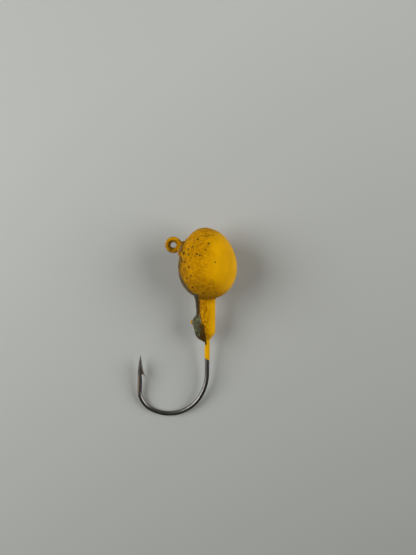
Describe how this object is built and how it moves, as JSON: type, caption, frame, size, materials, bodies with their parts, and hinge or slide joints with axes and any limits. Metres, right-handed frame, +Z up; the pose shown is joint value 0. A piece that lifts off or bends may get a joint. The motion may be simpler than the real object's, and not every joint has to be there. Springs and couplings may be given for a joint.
{
  "type": "jig head",
  "caption": "Painted ball-shaped lead weight cast on a barbed fishing hook, with a line eye at its side and a barbed collar that holds a soft bait.",
  "frame": {"origin": "On the surface that the jig lies on, under the middle of its box.", "axes": "+Z up. +Y towards the ball's nose, with the hook's bend at -Y. The line eye, the bait keeper and the hook's point are on the -X side."},
  "size_m": [0.0212, 0.0406, 0.0124],
  "materials": {
    "hook_wire": "black nickel",
    "lead": "bare cast lead, dulled",
    "paint": "satin powder paint"
  },
  "bodies": {
    "root": {"hook_eye": "hook_wire", "hook_neck": "hook_wire", "hook_shank": "hook_wire", "hook_heel": "hook_wire", "hook_bend": "hook_wire", "hook_throat": "hook_wire", "hook_point": "hook_wire", "lead_ball": "lead", "lead_collar": "lead", "lead_keeper": "lead", "paint_head": "paint", "paint_collar": "paint", "paint_shank": "paint", "paint_eye": "paint", "paint_keeper_fleck": "paint"}
  },
  "joints": []
}
